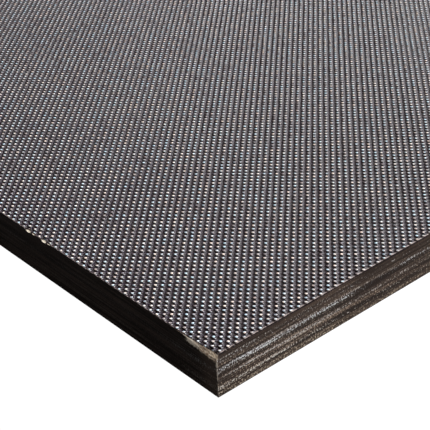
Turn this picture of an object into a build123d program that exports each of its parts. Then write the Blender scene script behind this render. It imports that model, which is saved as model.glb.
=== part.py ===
# Anti-slip film-faced plywood sheet, lying flat with its wire-mesh side up.
# Millimetres. The origin is the centre of the underside: X runs along the sheet, Y across it, Z up.
import os

from build123d import *

# Sheet
LENGTH = 2440.0
WIDTH = 1220.0
THICKNESS = 18.0

# Layers, from the top down: mesh film, an odd number of veneer plies, smooth film
MESH_FILM = 0.5
SMOOTH_FILM = 0.3
PLY_COUNT = 9
FACE_PLY = 1.6
INNER_PLY = 1.89
BACK_PLY = THICKNESS - MESH_FILM - SMOOTH_FILM - FACE_PLY - (PLY_COUNT - 2) * INNER_PLY
PLY_THICKNESSES = (FACE_PLY,) + (PLY_COUNT - 2) * (INNER_PLY,) + (BACK_PLY,)

# Chipped arris at the near corner, where the short end (-X) meets the long edge (-Y).
# Each section of the chip is a distance along the end from the corner, how far the break
# reaches in over the face, and how deep it goes down the end.
CORNER_CHIP_SECTIONS = (
    (-1.0, 0.9, 2.9),
    (2.5, 1.2, 2.5),
    (7.0, 0.8, 2.3),
    (8.5, 0.6, 1.4),
    (13.0, 0.6, 0.9),
    (20.0, 0.2, 0.3),
)

# Small scallops further along the same arris: distance from the corner, depth of the scoop
ARRIS_SCALLOPS = (
    (98.0, 0.50),
    (101.3, 0.80),
    (108.4, 0.50),
    (112.0, 0.80),
)
SCALLOP_RADIUS = 3.2
SCALLOP_DEPTH_ACROSS = 6.0

# How far a cutter stands out past the face it cuts
CLEARANCE = 1.0

END_X = -LENGTH / 2
EDGE_Y = -WIDTH / 2


# Corner chip, as a cutter: triangles across the arris, lofted along it
with BuildPart() as corner_chip:
    for along, reach, depth in CORNER_CHIP_SECTIONS:
        section_plane = Plane(
            origin=(END_X, EDGE_Y + along, THICKNESS), x_dir=(1, 0, 0), z_dir=(0, -1, 0)
        )
        slope = depth / reach
        with BuildSketch(section_plane):
            with BuildLine():
                Polyline(
                    (-CLEARANCE, CLEARANCE),
                    (reach + CLEARANCE / slope, CLEARANCE),
                    (-CLEARANCE, -depth - CLEARANCE * slope),
                    close=True,
                )
            make_face()
    loft(ruled=True)


# Scallops, as cutters: short round scoops taken out of the arris at 45 degrees
with BuildPart() as scallops:
    for along, scoop_depth in ARRIS_SCALLOPS:
        scoop_plane = Plane(
            origin=(END_X, EDGE_Y + along, THICKNESS), x_dir=(0, 1, 0), z_dir=(1, 0, 1)
        )
        with BuildSketch(scoop_plane):
            with Locations((0, SCALLOP_RADIUS - scoop_depth)):
                Circle(SCALLOP_RADIUS)
        extrude(amount=SCALLOP_DEPTH_ACROSS / 2, both=True)


def sheet_layer(label, bottom, thickness, chipped):
    """One full-size layer of the sheet, with the broken arris cut away where it is chipped."""
    with BuildPart() as layer:
        with BuildSketch(Plane.XY.offset(bottom)):
            Rectangle(LENGTH, WIDTH)
        extrude(amount=thickness)
        if chipped:
            add(corner_chip.part, mode=Mode.SUBTRACT)
            add(scallops.part, mode=Mode.SUBTRACT)
    layer.part.label = label
    return layer


def ply_label(number):
    """Name of a ply, counted from the top: odd plies run lengthways, even ones across."""
    if number == 1:
        return "ply_1_face"
    if number == PLY_COUNT:
        return f"ply_{number}_back"
    grain = "long" if number % 2 else "cross"
    return f"ply_{number}_{grain}"


os.makedirs("parts", exist_ok=True)

# Mesh film on the top face
mesh_film = sheet_layer("mesh_film", THICKNESS - MESH_FILM, MESH_FILM, chipped=True)
export_step(mesh_film.part, "parts/mesh_film.step")

# Veneer plies, from the face ply down to the back ply. The chip stops at the first glue line,
# so it takes wood from the face ply only.
for number, ply_thickness in enumerate(PLY_THICKNESSES, start=1):
    ply_bottom = THICKNESS - MESH_FILM - sum(PLY_THICKNESSES[:number])
    ply = sheet_layer(ply_label(number), ply_bottom, ply_thickness, chipped=number == 1)
    export_step(ply.part, f"parts/{ply_label(number)}.step")

# Smooth film on the underside
smooth_film = sheet_layer("smooth_film", 0, SMOOTH_FILM, chipped=False)
export_step(smooth_film.part, "parts/smooth_film.step")
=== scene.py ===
import math

import bpy
import numpy as np
from mathutils import Matrix, Vector


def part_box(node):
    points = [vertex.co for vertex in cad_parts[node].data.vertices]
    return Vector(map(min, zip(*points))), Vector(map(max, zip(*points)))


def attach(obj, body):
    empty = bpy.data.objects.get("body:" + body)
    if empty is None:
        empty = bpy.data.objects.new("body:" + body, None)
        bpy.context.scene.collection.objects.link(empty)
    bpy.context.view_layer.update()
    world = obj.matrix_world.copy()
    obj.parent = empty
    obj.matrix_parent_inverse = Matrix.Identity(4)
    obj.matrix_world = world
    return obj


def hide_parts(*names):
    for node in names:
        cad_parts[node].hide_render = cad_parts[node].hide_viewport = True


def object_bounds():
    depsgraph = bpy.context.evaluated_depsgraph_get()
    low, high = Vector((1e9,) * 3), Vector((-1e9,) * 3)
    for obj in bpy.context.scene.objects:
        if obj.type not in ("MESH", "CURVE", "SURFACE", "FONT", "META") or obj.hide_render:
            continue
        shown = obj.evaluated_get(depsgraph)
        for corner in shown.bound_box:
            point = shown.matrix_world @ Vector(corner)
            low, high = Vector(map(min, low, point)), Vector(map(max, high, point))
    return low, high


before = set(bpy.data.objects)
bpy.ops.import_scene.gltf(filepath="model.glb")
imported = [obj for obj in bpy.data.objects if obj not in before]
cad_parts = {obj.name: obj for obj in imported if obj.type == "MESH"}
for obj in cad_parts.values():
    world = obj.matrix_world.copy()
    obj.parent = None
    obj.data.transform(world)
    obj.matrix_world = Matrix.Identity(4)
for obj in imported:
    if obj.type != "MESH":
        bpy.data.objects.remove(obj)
cad_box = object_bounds()

MM = 0.001

# The chipped corner that the picture shows: short end at -X, long edge at -Y, top film at +Z
SHEET_LOW, SHEET_HIGH = cad_box
CORNER = Vector((SHEET_LOW.x, SHEET_LOW.y, SHEET_HIGH.z))
LENGTH = SHEET_HIGH.x - SHEET_LOW.x
WIDTH = SHEET_HIGH.y - SHEET_LOW.y
FILM_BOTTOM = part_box("mesh_film")[0].z

# Camera
SENSOR_WIDTH = 36.0
LENS = 103.01
NEAREST_SEEN = 0.01
FURTHEST_SEEN = 60.0
CAMERA_FROM_CORNER = Vector((-206.17, -252.24, 248.51)) * MM
CAMERA_HEADING = math.radians(50.39)
CAMERA_DOWN = math.radians(30.84)
CAMERA_ROLL = math.radians(-2.906)

# Floor, from its middle to its sides, with its paint and how bright it looks to the eye
FLOOR_REACH = 30.0
FLOOR_PAINT = (0.06, 0.06, 0.06, 1)
FLOOR_GLOW = 1.05

# Soft light from all round: heading from +X toward +Y and height above level, both in degrees,
# then how tight and how bright the patch is. The last value is the faint light between patches.
SKY_PATCHES = (
    (28.0, 3.0, 38.0, 5.0),
    (44.0, 47.0, 120.0, 7.0),
    (38.0, 60.0, 70.0, 36.0),
    (212.0, 68.0, 18.0, 3.5),
    (-62.0, 35.0, 16.0, 9.2),
)
SKY_BETWEEN = 0.02

# Wire imprint: two families of rows of pips, each with its spacing, the direction that it repeats in
# and where it starts, as a share of the spacing
ROW_PITCHES = (2.5768 * MM, 2.5890 * MM)
ROW_TURNS = (math.radians(45.03), math.radians(-45.17))
ROW_STARTS = (-0.064, -0.372)
WIRE_PITCH = 1.827 * MM

# One cell of the imprint: a round pip, and the deep slot that the wire left beside it.
# Each is a height, the place of its middle in the cell and the powers that narrow it
# along the first rows, along the second rows and along X.
PIP_HEIGHT = 0.24 * MM
PIP_MIDDLE = (0.0, 0.0)
PIP_POWERS = (1.3, 1.3, 0.0)
SLOT_DEPTH = 0.24 * MM
SLOT_MIDDLE = (-1.00 * MM, -0.22 * MM)
SLOT_POWERS = (0.5, 0.5, 1.7)

# How much steeper than the relief the shading takes the pip and the slot to be, and what it adds to
# each raised cosine, so that nothing is divided by zero
SHADING_STEEPNESS = (2.0, 2.9)
LEAST_RAISED = 0.0005

# Broken arris of the end, in mm: distance along it from the corner, then for the chip how far it
# reaches in over the face, and for a scallop how deep it is scooped
CHIP_OUTLINE = ((-1.0, 0.9), (2.5, 1.2), (7.0, 0.8), (8.5, 0.6), (13.0, 0.6), (20.0, 0.2), (21.0, 0.0))
SCALLOPS = ((98.0, 0.50), (101.3, 0.80), (108.4, 0.50), (112.0, 0.80))
SCALLOP_RADIUS = 3.2 * MM

# How far in from the end the relief gives way to the broken arris, and how wide the sawn burr is
ARRIS_FADE = 4.0 * MM
BURR_WIDTH = 0.8 * MM

# Relief grid: rows of square blocks, fine near the corner and coarser further off. The first rows
# reach back to the end of the sheet, where the picture shows its arris.
BLOCK_CELLS = 16
BLOCK = BLOCK_CELLS * WIRE_PITCH
FINE_STEPS = BLOCK_CELLS * 6
COARSE_STEPS = BLOCK_CELLS * 4
FINE_BLOCKS = 4
ROWS_FROM_END = 5
VIEW_OUTLINE_STEPS = 400

# The flat film lies below the pips' tops by this share of their height
FLAT_FILM_DROP = 0.8

# A noise is a scale, its detail and its roughness. The scale is bumps for each metre, as one number
# or as one for each axis. A step is a low and a high value, then what it starts and ends at,
# which is 0 and 1 where they are left out.

# Mesh film colours
FILM_GROUND = (0.009, 0.003, 0.010, 1)
FILM_GROUND_WORN = (0.011, 0.005, 0.010, 1)
FILM_DUST = (0.11, 0.09, 0.12, 1)
# The pips' colours are painted highlights: warm, cool and dim glints of light on their tops.
PIP_HIGHLIGHT_WARM = (0.70, 0.57, 0.50, 1)
PIP_HIGHLIGHT_COOL = (0.42, 0.56, 0.66, 1)
PIP_HIGHLIGHT_DIM = (0.16, 0.13, 0.14, 1)
# The slots' colour is painted shade: the dark of the shadow in the wire's groove.
FILM_SLOT_SHADE = (0.006, 0.001, 0.001, 1)
FILM_BURR = (0.24, 0.19, 0.175, 1)

# Mesh film noises
FILM_SPECKLE = (1100.0, 3.0, 0.7)
FILM_CLOUD = (24.0, 3.0, 0.6)
FILM_DUST_GRAIN = (1900.0, 2.0, 0.7)
# Noises that tint and dim the pips' painted highlights
PIP_HIGHLIGHT_TINT = (620.0, 2.0, 0.7)
PIP_HIGHLIGHT_DIMMING = (480.0, 2.0, 0.6)
BURR_FRAY = (2600.0, 2.0, 0.6)

# Mesh film steps: where each colour shows, among them the pips' painted highlights and the slots'
# painted shade, how far a slot is metallic as painted shade and how rough a pip is
WORN_SHOWS = (0.85, 1.2)
DUST_SHOWS = (0.54, 0.68, 0.0, 0.7)
WARM_HIGHLIGHT_SHOWS = (0.40, 0.60)
BRIGHT_HIGHLIGHT_SHOWS = (0.30, 0.58)
PIP_HIGHLIGHT_SHOWS = (0.38, 0.72)
SLOT_SHADE_SHOWS = (0.03, 0.20)
SLOT_SHADE_METALLIC = (0.10, 0.45, 0.0, 0.5)
PIP_ROUGHNESS = (0.0, 0.7, 0.13, 0.19)

# Pale burr on the film's edges, in mm: how far it frays, where it stops, and how much nearer to the
# edge it stops along the end
BURR_FRAYS = 1.6
BURR_SHOWS = (-0.6, 0.2, 1.0, 0.0)
BURR_ON_END = 0.45

# A face counts as the film's top when its normal rises by more than this
TOP_FACE_RISE = 0.1

# Smooth film of the underside
SMOOTH_FILM_DARK = (0.018, 0.010, 0.008, 1)
SMOOTH_FILM_LIGHT = (0.028, 0.016, 0.012, 1)
SMOOTH_FILM_CLOUD = (40.0, 3.0, 0.5)
SMOOTH_FILM_ROUGHNESS = (0.3, 0.7, 0.30, 0.42)

# Sawn edge colours
SEALER = (0.024, 0.017, 0.014, 1)
SEALER_THIN = (0.070, 0.048, 0.037, 1)
# The end's sealer is the same sealer painted darker as shade, since the end lies in shadow.
SHADED_END_SEALER = (0.009, 0.006, 0.005, 1)
SHADED_END_SEALER_THIN = (0.036, 0.025, 0.021, 1)
END_RUBBED = (0.085, 0.058, 0.045, 1)
WORN_ARRIS = (0.36, 0.31, 0.26, 1)
BARE_WOOD = (0.86, 0.68, 0.50, 1)
# Pale wood that also stands for painted highlights: on pale splinters and towards the tear's far end.
PALE_WOOD_AND_HIGHLIGHT = (0.95, 0.86, 0.72, 1)
BARE_WOOD_DARK = (0.38, 0.25, 0.17, 1)

# Sawn edge finish
EDGE_ROUGHNESS = 0.7
EDGE_SPECULAR = 0.15
EDGE_BUMP_STRENGTH = 0.6
EDGE_BUMP_DISTANCE = 0.3 * MM

# Pale fibre on the long edge by depth in mm, real torn fibre in part and painted glints off its ends in
# part: how much of it, then its colour
FIBRE_BANDS = (
    (0.0, 0.36, (0.30, 0.20, 0.15)),
    (1.6, 0.22, (0.27, 0.19, 0.14)),
    (2.5, 0.44, (0.46, 0.44, 0.42)),
    (3.3, 0.34, (0.46, 0.46, 0.47)),
    (4.6, 0.36, (0.36, 0.27, 0.20)),
    (5.6, 0.52, (0.48, 0.42, 0.37)),
    (6.6, 0.58, (0.76, 0.80, 0.84)),
    (7.4, 0.50, (0.66, 0.66, 0.66)),
    (8.3, 0.48, (0.44, 0.34, 0.27)),
    (9.6, 0.46, (0.42, 0.32, 0.25)),
    (10.5, 0.58, (0.54, 0.52, 0.50)),
    (11.6, 0.50, (0.44, 0.33, 0.25)),
    (13.2, 0.48, (0.46, 0.36, 0.28)),
    (14.2, 0.68, (0.72, 0.69, 0.64)),
    (15.2, 0.46, (0.46, 0.37, 0.29)),
    (17.0, 0.56, (0.54, 0.45, 0.34)),
    (18.0, 0.52, (0.50, 0.40, 0.30)),
)
DEEPEST_BAND = FIBRE_BANDS[-1][0]

# The bands sway up and down by this many mm with slow noise, and are fainter away from the end
BAND_SWAY = 1.1
BAND_SWAY_NOISE = ((28, 28, 60), 2.0, 0.5)
BAND_SHARE_BY_END = (0.0, 120.0, 1.0, 0.62)

# Noises that decide where fibre shows, with how strongly each does: short upright fibres, painted glints
# of torn fibre ends as bright sparks, long streaks along the edge and broad patches
UPRIGHT_FIBRES = ((2100, 2100, 950), 2.0, 0.6)
PAINTED_GLINT_SPARKS = ((1500, 1500, 2100), 2.0, 0.6)
LONG_STREAKS = ((24, 24, 1400), 4.0, 0.65)
BROAD_PATCHES = ((70, 70, 260), 2.0, 0.5)
FIBRE_NOISES = ((UPRIGHT_FIBRES, 2.2), (PAINTED_GLINT_SPARKS, 1.7), (LONG_STREAKS, 1.45), (BROAD_PATCHES, 0.5))

# Fibre shows over this level, which falls by the second value times the band's share
FIBRE_LEVEL = 0.53
FIBRE_LEVEL_FALL = -0.85
FIBRE_SHOWS = (0.0, 0.28)
STREAK_SHOWS = (0.40, 0.62)
STREAK_RELIEF = 0.5

# How strongly the fibres colour a veneer with its grain along the sheet, and one across it
LONG_FIBRE_STRENGTH = 0.9
CROSS_FIBRE_STRENGTH = 1.0

# The end: how far a face has to turn to X to be on it, then by distance in mm from the long edge how
# rubbed it is and how much fibre shows there
END_FACE = (0.4, 0.9)
END_RUBBED_SHOWS = (3.0, 11.0, 0.55, 0.0)
END_FIBRE_SHARE = (4.0, 30.0, 0.15, 0.04)

# Worn upright arris, in mm: how far it frays, how far in it shows, and how it fades with depth
ARRIS_NOISE = ((900, 900, 700), 3.0, 0.7)
ARRIS_FRAYS = 4.5
ARRIS_SHOWS = (-2.4, -1.7, 1.0, 0.0)
ARRIS_BY_DEPTH = (4.0, 13.0, 1.0, 0.35)

# Bare wood shows on faces that no axis meets as squarely as this
SQUARE_FACE = 0.985
SPLINTERS = ((1500, 700, 2200), 3.0, 0.7)
WOOD_SHOWS = (0.38, 0.62)
# Pale splinters are painted highlights on the bare wood
PALE_SPLINTER_HIGHLIGHTS_SHOW = (0.50, 0.64)
DARK_SPLINTERS_SHOW = (0.36, 0.48, 0.85, 0.0)

# The end is torn below the corner chip. All are in mm: where the tear narrows and stops along the end,
# how deep it is at both, how far it frays along the end and in depth, how it fades at its lower rim,
# at its far end and inward from the end, and where its wood is painted pale as a highlight.
TORN_START = 2.5
TORN_END = 17.5
TORN_DEPTH = (3.3, 2.3)
TORN_FRAYS_ALONG = 5.0
TORN_FRAYS_DOWN = 2.8
TORN_RIM = (1.0, 1.7)
TORN_STOPS = (TORN_END - 0.5, TORN_END + 1.5, 1.0, 0.0)
TORN_INWARD = (0.3, 2.0, 1.0, 0.0)
TORN_HIGHLIGHT_SHOWS = (10.0, 15.0, 0.0, 0.7)


def link(name, data):
    """A new object in the scene."""
    made = bpy.data.objects.new(name, data)
    bpy.context.scene.collection.objects.link(made)
    return made


# Shader nodes

class Nodes:
    """Adds nodes to one tree. A value may be a number or another node's output."""

    def __init__(self, tree):
        self.tree = tree

    def add(self, kind, inputs=(), **settings):
        """A node with its settings and its input values."""
        node = self.tree.nodes.new(kind)
        for name, value in settings.items():
            setattr(node, name, value)
        for key, value in dict(inputs).items():
            self.feed(node.inputs[key], value)
        return node

    def feed(self, socket, value):
        """Links an output to a socket, or sets the socket's own value."""
        if isinstance(value, bpy.types.NodeSocket):
            self.tree.links.new(value, socket)
        else:
            socket.default_value = value

    def group(self, group, place):
        """The outputs of a shader node group at a place."""
        return self.add("ShaderNodeGroup", {"Place": place}, node_tree=group).outputs

    def math(self, operation, *values):
        """A Math node's output."""
        return self.add("ShaderNodeMath", dict(enumerate(values)), operation=operation).outputs[0]

    def vector(self, operation, *values):
        """The outputs of a Vector Math node: the vector, then the value."""
        return self.add("ShaderNodeVectorMath", dict(enumerate(values)), operation=operation).outputs

    def split(self, vector):
        """The X, Y and Z of a vector."""
        return self.add("ShaderNodeSeparateXYZ", {0: vector}).outputs

    def join(self, x, y, z=0.0):
        """A vector from its X, Y and Z."""
        return self.add("ShaderNodeCombineXYZ", {0: x, 1: y, 2: z}).outputs[0]

    def smooth(self, value, low, high, start=0.0, end=1.0):
        """Smooth step from start to end as value goes from low to high."""
        limits = {"Value": value, "From Min": low, "From Max": high, "To Min": start, "To Max": end}
        return self.add("ShaderNodeMapRange", limits, interpolation_type="SMOOTHSTEP").outputs["Result"]

    def mix(self, share, first, second):
        """Colour between first and second."""
        return self.add("ShaderNodeMix", {0: share, 6: first, 7: second}, data_type="RGBA").outputs[2]

    def mix_vector(self, share, first, second):
        """Vector between first and second."""
        return self.add("ShaderNodeMix", {0: share, 4: first, 5: second}, data_type="VECTOR").outputs[1]

    def noise(self, place, scale, detail, roughness):
        """Noise value around 0.5 at a place. A scale for each axis stretches the place instead."""
        if isinstance(scale, tuple):
            place = self.vector("MULTIPLY", place, scale)[0]
            scale = 1.0
        values = {"Vector": place, "Scale": scale, "Detail": detail, "Roughness": roughness}
        return self.add("ShaderNodeTexNoise", values).outputs["Fac"]


def new_group(name, outputs):
    """A shader node group that takes a place. Returns the group, its nodes, the place and the inputs
    of its output node."""
    group = bpy.data.node_groups.new(name, "ShaderNodeTree")
    group.interface.new_socket("Place", in_out="INPUT", socket_type="NodeSocketVector")
    for label, kind in outputs.items():
        group.interface.new_socket(label, in_out="OUTPUT", socket_type="NodeSocket" + kind)
    nodes = Nodes(group)
    place = nodes.add("NodeGroupInput").outputs["Place"]
    return group, nodes, place, nodes.add("NodeGroupOutput").inputs


def new_material(name):
    """A material with its nodes, its Principled shader and the place on the surface."""
    material = bpy.data.materials.new(name)
    material.use_nodes = True
    nodes = Nodes(material.node_tree)
    shader = material.node_tree.nodes["Principled BSDF"]
    place = nodes.add("ShaderNodeTexCoord").outputs["Object"]
    return material, nodes, shader, place


# Camera, floor and light

def camera_rotation():
    """Turn about Z to the heading, tip down from level, then roll about the line of sight."""
    heading = Matrix.Rotation(CAMERA_HEADING - math.pi / 2, 3, "Z")
    tip = Matrix.Rotation(math.pi / 2 - CAMERA_DOWN, 3, "X")
    roll = Matrix.Rotation(CAMERA_ROLL, 3, "Z")
    return heading @ tip @ roll


def add_camera():
    """Camera at the picture's point of view."""
    data = bpy.data.cameras.new("camera")
    data.sensor_width = SENSOR_WIDTH
    data.lens = LENS
    data.clip_start = NEAREST_SEEN
    data.clip_end = FURTHEST_SEEN
    camera = link("camera", data)
    camera.matrix_world = Matrix.Translation(CORNER + CAMERA_FROM_CORNER) @ camera_rotation().to_4x4()
    bpy.context.scene.camera = camera


def seen_corners():
    """Where the picture's four corners meet the top face, as x, y from the sheet's corner."""
    half = SENSOR_WIDTH / 2 / LENS
    points = []
    for across, up in ((-1, -1), (1, -1), (1, 1), (-1, 1)):
        ray = camera_rotation() @ Vector((across * half, up * half, -1.0))
        points.append((CAMERA_FROM_CORNER - ray * (CAMERA_FROM_CORNER.z / ray.z)).xy)
    return points


def add_floor():
    """Plain pale floor, bright to the eye and dimmer in what it throws back at the sheet."""
    low, high, level = -FLOOR_REACH, FLOOR_REACH, SHEET_LOW.z
    corners = [(low, low, level), (high, low, level), (high, high, level), (low, high, level)]
    mesh = bpy.data.meshes.new("floor")
    mesh.from_pydata(corners, [], [(0, 1, 2, 3)])
    floor = link("floor", mesh)
    material, nodes, shader, _ = new_material("floor_paint")
    shader.inputs["Base Color"].default_value = FLOOR_PAINT
    shader.inputs["Roughness"].default_value = 1.0
    shader.inputs["Specular IOR Level"].default_value = 0.0
    glow = nodes.add("ShaderNodeEmission", {"Color": (1, 1, 1, 1), "Strength": FLOOR_GLOW})
    seen = nodes.add("ShaderNodeLightPath").outputs["Is Camera Ray"]
    both = nodes.add("ShaderNodeMixShader", {0: seen, 1: shader.outputs[0], 2: glow.outputs[0]})
    output = material.node_tree.nodes["Material Output"]
    nodes.feed(output.inputs["Surface"], both.outputs[0])
    mesh.materials.append(material)


def add_sky():
    """World light: a sum of round soft patches over a faint even light. Each patch is its strength
    times e to the power of its tightness times the cosine from its middle less one. The camera
    itself sees plain white."""
    world = bpy.data.worlds.new("soft_room")
    bpy.context.scene.world = world
    world.use_nodes = True
    nodes = Nodes(world.node_tree)
    background = world.node_tree.nodes["Background"]
    background.inputs["Color"].default_value = (1, 1, 1, 1)
    toward = nodes.add("ShaderNodeTexCoord").outputs["Generated"]
    total = SKY_BETWEEN
    for heading, height, tightness, strength in SKY_PATCHES:
        turn = math.radians(heading)
        rise = math.radians(height)
        middle = (math.cos(turn) * math.cos(rise), math.sin(turn) * math.cos(rise), math.sin(rise))
        cosine = nodes.vector("DOT_PRODUCT", toward, middle)["Value"]
        lobe = nodes.math("EXPONENT", nodes.math("MULTIPLY_ADD", cosine, tightness, -tightness))
        total = nodes.math("MULTIPLY_ADD", lobe, strength, total)
    seen = nodes.add("ShaderNodeLightPath").outputs["Is Camera Ray"]
    nodes.feed(background.inputs["Strength"], nodes.math("MAXIMUM", total, seen))


# Relief of the imprint

def cell_waves():
    """Wave vectors in cycles per metre with their starts in cycles: the two families of rows, and
    their sum, which runs along X with one wire pitch."""
    rows = [
        (math.cos(turn) / pitch, math.sin(turn) / pitch, start)
        for pitch, turn, start in zip(ROW_PITCHES, ROW_TURNS, ROW_STARTS)
    ]
    return rows + [tuple(a + b for a, b in zip(*rows))]


def cell_forms():
    """The pip and the slot: height, then for each wave its vector, its start and its power."""
    forms = []
    for height, middle, powers in (
        (PIP_HEIGHT, PIP_MIDDLE, PIP_POWERS),
        (-SLOT_DEPTH, SLOT_MIDDLE, SLOT_POWERS),
    ):
        waves = [
            (x, y, start - x * middle[0] - y * middle[1], power)
            for (x, y, start), power in zip(cell_waves(), powers)
            if power > 0
        ]
        forms.append((height, waves))
    return forms


def imprint_height(x, y):
    """Height of the film over its ground level at x, y from the corner: for the pip and for the slot,
    the product of raised cosines along the rows, each to its power, times the form's height."""
    total = 0.0
    for height, waves in cell_forms():
        product = height
        for along_x, along_y, start, power in waves:
            phase = 2 * np.pi * (along_x * x + along_y * y + start)
            product = product * (0.5 + 0.5 * np.cos(phase)) ** power
        total = total + product
    return total


def chip_reach(y):
    """How far the broken arris reaches in from the end at y from the corner. The corner chip is a
    run of straight stretches, and each scallop is the sagitta of a round scoop at 45 degrees."""
    stretch_ends, reach = np.array(CHIP_OUTLINE).T * MM
    chip = np.interp(y, stretch_ends, reach)
    for centre, depth in SCALLOPS:
        half_chord = np.clip(SCALLOP_RADIUS ** 2 - (y - centre * MM) ** 2, 0, None)
        sagitta = depth * MM - SCALLOP_RADIUS + np.sqrt(half_chord)
        chip = np.maximum(chip, math.sqrt(2) * sagitta)
    return chip


def relief_top(x_lines, y_lines):
    """Points of the film's top over a grid. The height is the imprint's, raised to a burr that grows
    with the square of the nearness to the sheet's edges. Along the chipped end the first few
    millimetres of the grid stand in from the edge."""
    x, y = np.meshgrid(x_lines, y_lines)
    burr = np.clip(1 - np.minimum(x + BURR_WIDTH / 2, y) / BURR_WIDTH, 0, 1) ** 2
    x = x + chip_reach(y) * np.clip(1 - x / ARRIS_FADE, 0, 1)
    height = imprint_height(x, y)
    height = height + (PIP_HEIGHT - height) * burr
    return np.stack([CORNER.x + x, CORNER.y + y, CORNER.z - PIP_HEIGHT + height], -1)


def relief_slab(name, x_lines, y_lines):
    """A slab of film whose top is the relief on a grid. The grid's rim drops to a flat underside,
    which is a fan of triangles from its middle."""
    top = relief_top(x_lines, y_lines)
    number = np.arange(len(y_lines) * len(x_lines)).reshape(len(y_lines), len(x_lines))
    quads = np.stack([number[:-1, :-1], number[:-1, 1:], number[1:, 1:], number[1:, :-1]], -1)
    quads = quads.reshape(-1, 4)
    rim = np.concatenate([number[0, :-1], number[:-1, -1], number[-1, :0:-1], number[:0:-1, 0]])
    lower = number.size + np.arange(len(rim))
    skirt = np.stack([rim, lower, np.roll(lower, -1), np.roll(rim, -1)], -1)
    middle = np.full(len(rim), number.size + len(rim))
    under = np.stack([middle, np.roll(lower, -1), lower], -1)
    top = top.reshape(-1, 3)
    low = top[rim]
    low[:, 2] = FILM_BOTTOM
    centre = [[top[:, 0].mean(), top[:, 1].mean(), FILM_BOTTOM]]
    points = np.concatenate([top, low, centre])
    mesh = bpy.data.meshes.new(name)
    mesh.from_pydata(points.tolist(), [], np.concatenate([quads, skirt]).tolist() + under.tolist())
    mesh.polygons.foreach_set("use_smooth", np.arange(len(mesh.polygons)) < len(quads))
    slab = link(name, mesh)
    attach(slab, "root")
    return slab


def flat_film(name, spans):
    """The rest of the mesh film: flat boxes, each between a low and a high x, y from the corner.
    A box's eight points are every choice of low or high along X, Y and Z, with X changing first."""
    corner_bits = np.indices((2, 2, 2)).reshape(3, 8)[::-1].T
    box_faces = np.array(
        [[0, 2, 3, 1], [4, 5, 7, 6], [0, 1, 5, 4], [2, 6, 7, 3], [0, 4, 6, 2], [1, 3, 7, 5]]
    )
    flat_top = CORNER.z - PIP_HEIGHT * FLAT_FILM_DROP
    starts, ends = np.array(spans).transpose(1, 0, 2) + (CORNER.x, CORNER.y)
    low = np.insert(starts, 2, FILM_BOTTOM, axis=1)[:, None]
    high = np.insert(ends, 2, flat_top, axis=1)[:, None]
    points = np.where(corner_bits, high, low).reshape(-1, 3)
    faces = (box_faces + 8 * np.arange(len(spans))[:, None, None]).reshape(-1, 4)
    mesh = bpy.data.meshes.new(name)
    mesh.from_pydata(points.tolist(), [], faces.tolist())
    piece = link(name, mesh)
    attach(piece, "root")
    return piece


def seen_blocks(row):
    """First and last block in relief in a row of blocks, or nothing where the picture doesn't reach.
    They hold every point of the picture's outline on the top face that lies in the row."""
    corners = [np.array(point) for point in seen_corners()]
    share = np.linspace(0, 1, VIEW_OUTLINE_STEPS)[:, None]
    sides = zip(corners, corners[1:] + corners[:1])
    outline = np.concatenate([start + (end - start) * share for start, end in sides])
    in_row = (outline[:, 1] >= row * BLOCK) & (outline[:, 1] <= (row + 1) * BLOCK)
    seen = outline[in_row, 0]
    if not len(seen):
        return None
    first = 0 if row < ROWS_FROM_END else max(0, math.floor(seen.min() / BLOCK))
    last = math.ceil(seen.max() / BLOCK)
    return first, max(last, FINE_BLOCKS) if row == 0 else last


def block_lines(first, last, fine):
    """Grid lines from block number first to last, finer in the blocks near the corner."""
    lines = []
    for block in range(first, last):
        steps = FINE_STEPS if fine and block < FINE_BLOCKS else COARSE_STEPS
        lines.append((block + np.arange(steps) / steps) * BLOCK)
    return np.append(np.concatenate(lines), last * BLOCK)


def add_mesh_film(material):
    """Film pieces in relief where the picture looks, and flat ones with the same imprint in their
    shading over the rest of the sheet."""
    flat_spans = []
    pieces = []
    row = 0
    while seen := seen_blocks(row):
        first, last = seen
        low, high = row * BLOCK, (row + 1) * BLOCK
        fine = row < FINE_BLOCKS
        x_lines = block_lines(first, last, fine)
        y_lines = block_lines(0, 1, True) + low if fine else block_lines(row, row + 1, False)
        pieces.append(relief_slab(f"mesh_film_relief_{row + 1}", x_lines, y_lines))
        if first > 0:
            flat_spans.append(((0, low), (first * BLOCK, high)))
        flat_spans.append(((last * BLOCK, low), (LENGTH, high)))
        row += 1
    flat_spans.append(((0, row * BLOCK), (LENGTH, WIDTH)))
    field = flat_film("mesh_film_field", flat_spans)
    pieces.append(field)
    for piece in pieces:
        piece.data.materials.append(material)
    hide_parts("mesh_film")


# Shader node groups

def form_slopes(nodes, x, y, waves):
    """Outputs for one form of the cell: its product of raised cosines, and that product's slope
    along x and y. The slope of each factor is its power times its fall over its own height."""
    product = 1.0
    leans = []
    for along_x, along_y, start, power in waves:
        phase = nodes.math("MULTIPLY_ADD", x, 2 * math.pi * along_x, 2 * math.pi * start)
        phase = nodes.math("MULTIPLY_ADD", y, 2 * math.pi * along_y, phase)
        raised = nodes.math("MULTIPLY_ADD", nodes.math("COSINE", phase), 0.5, 0.5 + LEAST_RAISED)
        falling = nodes.math("MULTIPLY", nodes.math("SINE", phase), -math.pi * power)
        leans.append((nodes.math("DIVIDE", falling, raised), along_x, along_y))
        product = nodes.math("MULTIPLY", nodes.math("POWER", raised, power), product)
    slopes = []
    for axis in (1, 2):
        total = 0.0
        for lean in leans:
            total = nodes.math("MULTIPLY_ADD", lean[0], lean[axis], total)
        slopes.append(nodes.math("MULTIPLY", total, product))
    return product, slopes


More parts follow.
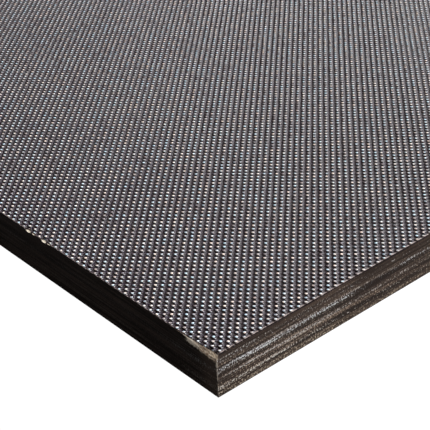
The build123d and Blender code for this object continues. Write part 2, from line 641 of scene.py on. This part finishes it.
def imprint_group():
    """Place to imprint: how much of the pip and of the slot there is, from 0 to 1, and the surface
    normal that their slopes give. The forms are the same as the relief's."""
    outputs = {"Pip": "Float", "Slot": "Float", "Normal": "Vector"}
    group, nodes, place, ends = new_group("imprint", outputs)
    across = nodes.split(place)
    x = nodes.math("SUBTRACT", across[0], CORNER.x)
    y = nodes.math("SUBTRACT", across[1], CORNER.y)
    lean_x = lean_y = 0.0
    for name, (height, waves), steepness in zip(("Pip", "Slot"), cell_forms(), SHADING_STEEPNESS):
        product, (slope_x, slope_y) = form_slopes(nodes, x, y, waves)
        nodes.feed(ends[name], product)
        fall = -height * steepness
        lean_x = nodes.math("MULTIPLY_ADD", slope_x, fall, lean_x)
        lean_y = nodes.math("MULTIPLY_ADD", slope_y, fall, lean_y)
    nodes.feed(ends["Normal"], nodes.vector("NORMALIZE", nodes.join(lean_x, lean_y, 1.0))[0])
    return group


def sheet_place_group():
    """Place to where on the sheet it is, in millimetres: in from the end, in from the long edge, and
    how deep under the top."""
    outputs = {"From End": "Float", "From Edge": "Float", "Depth": "Float"}
    group, nodes, place, ends = new_group("sheet_place", outputs)
    axes = nodes.split(place)
    for axis, name, sign in ((0, "From End", 1), (1, "From Edge", 1), (2, "Depth", -1)):
        scale = sign / MM
        nodes.feed(ends[name], nodes.math("MULTIPLY_ADD", axes[axis], scale, -scale * CORNER[axis]))
    return group


def band_outputs(nodes, place, depth):
    """The fibre bands' colour and share at a depth in mm. The depth sways by the band sway either
    way as its noise goes from 0 to 1."""
    sway = nodes.noise(place, *BAND_SWAY_NOISE)
    swayed = nodes.math("MULTIPLY_ADD", sway, 2 * BAND_SWAY, depth)
    swayed = nodes.math("ADD", swayed, -BAND_SWAY)
    bands = nodes.add("ShaderNodeValToRGB", {0: nodes.math("DIVIDE", swayed, DEEPEST_BAND)})
    stops = bands.color_ramp.elements
    while len(stops) < len(FIBRE_BANDS):
        stops.new(0.5)
    for stop, (level, share, colour) in zip(stops, FIBRE_BANDS):
        stop.position = level / DEEPEST_BAND
        stop.color = (*colour, share)
    return bands.outputs["Color"], bands.outputs["Alpha"]


def edge_fibres_group(sheet_place):
    """Place on an edge to how much pale fibre shows there, part of it painted glints, and its colour,
    fine streaks in the sealer along the edge, and the relief. Fibres are a weighted sum of noises about
    zero, cut at a level that the bands of the plies lower."""
    outputs = {"Fibre": "Float", "Fibre Colour": "Color", "Streak": "Float", "Relief": "Float"}
    group, nodes, place, ends = new_group("edge_fibres", outputs)
    where = nodes.group(sheet_place, place)
    colour, share = band_outputs(nodes, place, where["Depth"])
    noises = [nodes.noise(place, *noise) for noise, _ in FIBRE_NOISES]
    weights = [weight for _, weight in FIBRE_NOISES]
    grain = -0.5 * sum(weights)
    for value, weight in zip(noises, weights):
        grain = nodes.math("MULTIPLY_ADD", value, weight, grain)
    share = nodes.math("MULTIPLY", share, nodes.smooth(where["From End"], *BAND_SHARE_BY_END))
    level = nodes.math("MULTIPLY_ADD", share, FIBRE_LEVEL_FALL, FIBRE_LEVEL)
    upright, _, streaks, _ = noises
    nodes.feed(ends["Fibre"], nodes.smooth(nodes.math("SUBTRACT", grain, level), *FIBRE_SHOWS))
    nodes.feed(ends["Fibre Colour"], colour)
    nodes.feed(ends["Streak"], nodes.smooth(streaks, *STREAK_SHOWS))
    nodes.feed(ends["Relief"], nodes.math("MULTIPLY_ADD", streaks, STREAK_RELIEF, upright))
    return group


# Film materials

def film_ground(nodes, place):
    """Dark ground of the mesh film: clouds of wear with a fine speckle, and dust on top."""
    wear = nodes.math("ADD", nodes.noise(place, *FILM_SPECKLE), nodes.noise(place, *FILM_CLOUD))
    ground = nodes.mix(nodes.smooth(wear, *WORN_SHOWS), FILM_GROUND, FILM_GROUND_WORN)
    dust = nodes.smooth(nodes.noise(place, *FILM_DUST_GRAIN), *DUST_SHOWS)
    return nodes.mix(dust, ground, FILM_DUST)


def film_pip_highlights(nodes, place):
    """Painted highlights on the pips' tops: warm here and cool there, and dimmer in places."""
    warm_highlight = nodes.smooth(nodes.noise(place, *PIP_HIGHLIGHT_TINT), *WARM_HIGHLIGHT_SHOWS)
    bright_highlight = nodes.smooth(nodes.noise(place, *PIP_HIGHLIGHT_DIMMING), *BRIGHT_HIGHLIGHT_SHOWS)
    return nodes.mix(bright_highlight, PIP_HIGHLIGHT_DIM, nodes.mix(warm_highlight, PIP_HIGHLIGHT_COOL, PIP_HIGHLIGHT_WARM))


def film_burr(nodes, place, sheet_place, on_top):
    """How much pale burr shows: all of it near the sheet's two edges, with a frayed limit."""
    where = nodes.group(sheet_place, place)
    from_end = nodes.math("ADD", where["From End"], BURR_ON_END)
    nearest = nodes.math("MINIMUM", from_end, where["From Edge"])
    frayed = nodes.math("MULTIPLY_ADD", nodes.noise(place, *BURR_FRAY), -BURR_FRAYS, nearest)
    return nodes.math("MULTIPLY", nodes.smooth(frayed, *BURR_SHOWS), on_top)


def mesh_film_material(sheet_place):
    """Dark phenolic film with the wire imprint: glossy pips with painted highlights, duller ground,
    slots painted dark as shade, and a pale frayed burr along the sheet's edges. The slots are also made
    partly metallic to lose half their shine, as painted shade for the light they trap: a black surface
    that is metallic in part mirrors less."""
    material, nodes, shader, place = new_material("mesh_film")
    imprint = nodes.group(imprint_group(), place)
    pip, slot = imprint["Pip"], imprint["Slot"]
    facing = nodes.add("ShaderNodeNewGeometry").outputs
    on_top = nodes.math("GREATER_THAN", nodes.split(facing["True Normal"])[2], TOP_FACE_RISE)
    # Painted highlights: the pips' tops are coloured bright over the dark ground
    colour = nodes.mix(nodes.smooth(pip, *PIP_HIGHLIGHT_SHOWS), film_ground(nodes, place), film_pip_highlights(nodes, place))
    # Painted shade: the slots are coloured nearly black
    colour = nodes.mix(nodes.smooth(slot, *SLOT_SHADE_SHOWS), colour, FILM_SLOT_SHADE)
    colour = nodes.mix(film_burr(nodes, place, sheet_place, on_top), colour, FILM_BURR)
    nodes.feed(shader.inputs["Base Color"], colour)
    # Painted shade: the slots are made partly metallic so that they mirror less
    nodes.feed(shader.inputs["Metallic"], nodes.smooth(slot, *SLOT_SHADE_METALLIC))
    nodes.feed(shader.inputs["Roughness"], nodes.smooth(pip, *PIP_ROUGHNESS))
    nodes.feed(shader.inputs["Normal"], nodes.mix_vector(on_top, facing["Normal"], imprint["Normal"]))
    return material


def smooth_film_material():
    """Smooth dark film of the underside, with slow clouds in its colour and its shine."""
    material, nodes, shader, place = new_material("smooth_film")
    cloud = nodes.noise(place, *SMOOTH_FILM_CLOUD)
    nodes.feed(shader.inputs["Base Color"], nodes.mix(cloud, SMOOTH_FILM_DARK, SMOOTH_FILM_LIGHT))
    nodes.feed(shader.inputs["Roughness"], nodes.smooth(cloud, *SMOOTH_FILM_ROUGHNESS))
    return material


# Sawn edge materials

def edge_facing(nodes):
    """How far a face is on the end, and whether it is broken: no axis meets it squarely."""
    facing = nodes.add("ShaderNodeNewGeometry").outputs["True Normal"]
    along_x, along_y, upward = (nodes.math("ABSOLUTE", side) for side in nodes.split(facing))
    squarest = nodes.math("MAXIMUM", nodes.math("MAXIMUM", along_x, along_y), upward)
    return nodes.smooth(along_x, *END_FACE), nodes.math("LESS_THAN", squarest, SQUARE_FACE)


def sealed_edge(nodes, fibres, where, on_end, fibre_strength):
    """Sealer colour, thinner along its streaks, painted darker on the end as shade and rubbed there
    beside the corner, with the pale fibres over it."""
    colour = nodes.mix(fibres["Streak"], SEALER, SEALER_THIN)
    # Painted shade: the end takes a darker copy of the sealer
    shaded_end_colour = nodes.mix(fibres["Streak"], SHADED_END_SEALER, SHADED_END_SEALER_THIN)
    colour = nodes.mix(on_end, colour, shaded_end_colour)
    rubbed = nodes.smooth(where["From Edge"], *END_RUBBED_SHOWS)
    colour = nodes.mix(nodes.math("MULTIPLY", rubbed, on_end), colour, END_RUBBED)
    less_on_end = nodes.math("SUBTRACT", nodes.smooth(where["From Edge"], *END_FIBRE_SHARE), 1.0)
    kept = nodes.math("MULTIPLY_ADD", on_end, less_on_end, 1.0)
    shown = nodes.math("MULTIPLY", fibres["Fibre"], kept)
    return nodes.mix(nodes.math("MULTIPLY", shown, fibre_strength), colour, fibres["Fibre Colour"])


def worn_arris(nodes, where, ragged):
    """How worn the upright arris is: by distance from it with a frayed limit, and less further down."""
    away = nodes.vector("LENGTH", nodes.join(where["From End"], where["From Edge"]))["Value"]
    frayed = nodes.math("MULTIPLY_ADD", ragged, -ARRIS_FRAYS, away)
    worn = nodes.smooth(frayed, *ARRIS_SHOWS)
    return nodes.math("MULTIPLY", worn, nodes.smooth(where["Depth"], *ARRIS_BY_DEPTH))


def torn_wood(nodes, place, where, ragged):
    """The tear below the corner chip: its wood colour, with painted highlights in pale splinters and
    towards its far end, and how much of it shows. It shows above a ragged depth that lessens along the
    end."""
    splinters = nodes.noise(place, *SPLINTERS)
    wood = nodes.mix(nodes.smooth(ragged, *WOOD_SHOWS), BARE_WOOD_DARK, BARE_WOOD)
    # Painted highlights: pale splinters
    wood = nodes.mix(nodes.smooth(splinters, *PALE_SPLINTER_HIGHLIGHTS_SHOW), wood, PALE_WOOD_AND_HIGHLIGHT)
    wood = nodes.mix(nodes.smooth(splinters, *DARK_SPLINTERS_SHOW), wood, SEALER_THIN)
    along = nodes.math("MULTIPLY_ADD", ragged, TORN_FRAYS_ALONG, where["From Edge"])
    # Painted highlight towards the tear's far end
    wood = nodes.mix(nodes.smooth(along, *TORN_HIGHLIGHT_SHOWS), wood, PALE_WOOD_AND_HIGHLIGHT)
    torn_to = nodes.smooth(along, TORN_START, TORN_END, *TORN_DEPTH)
    above = nodes.math("SUBTRACT", torn_to, where["Depth"])
    torn = nodes.smooth(nodes.math("MULTIPLY_ADD", ragged, TORN_FRAYS_DOWN, above), *TORN_RIM)
    torn = nodes.math("MULTIPLY", torn, nodes.smooth(along, *TORN_STOPS))
    torn = nodes.math("MULTIPLY", torn, nodes.smooth(where["From End"], *TORN_INWARD))
    return wood, torn


def edge_material(name, sheet_place, fibres_group, fibre_strength):
    """Sealed sawn edge: dark sealer with pale fibres, partly painted glints, on the long edges, nearly
    plain and painted darker as shade on the ends, bare wood with painted highlights where the arris is
    chipped and a worn line down the upright arris."""
    material, nodes, shader, place = new_material(name)
    fibres = nodes.group(fibres_group, place)
    where = nodes.group(sheet_place, place)
    ragged = nodes.noise(place, *ARRIS_NOISE)
    on_end, broken = edge_facing(nodes)
    colour = sealed_edge(nodes, fibres, where, on_end, fibre_strength)
    colour = nodes.mix(worn_arris(nodes, where, ragged), colour, WORN_ARRIS)
    wood, torn = torn_wood(nodes, place, where, ragged)
    bare = nodes.math("MAXIMUM", broken, nodes.math("MULTIPLY", torn, on_end))
    nodes.feed(shader.inputs["Base Color"], nodes.mix(bare, colour, wood))
    shader.inputs["Specular IOR Level"].default_value = EDGE_SPECULAR
    shader.inputs["Roughness"].default_value = EDGE_ROUGHNESS
    relief = {"Height": fibres["Relief"], "Strength": EDGE_BUMP_STRENGTH, "Distance": EDGE_BUMP_DISTANCE}
    nodes.feed(shader.inputs["Normal"], nodes.add("ShaderNodeBump", relief).outputs[0])
    return material


def dress_layers(sheet_place):
    """Gives each CAD layer that stays its material."""
    fibres = edge_fibres_group(sheet_place)
    lengthways = edge_material("veneer_long", sheet_place, fibres, LONG_FIBRE_STRENGTH)
    across = edge_material("veneer_cross", sheet_place, fibres, CROSS_FIBRE_STRENGTH)
    underside = smooth_film_material()
    for name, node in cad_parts.items():
        if name == "mesh_film":
            continue
        finish = across if name.endswith("_cross") else lengthways
        if name == "smooth_film":
            finish = underside
        for slot in node.material_slots:
            slot.material = finish


add_camera()
add_floor()
add_sky()
place_on_sheet = sheet_place_group()
add_mesh_film(mesh_film_material(place_on_sheet))
dress_layers(place_on_sheet)
bpy.context.scene.view_settings.view_transform = "Standard"
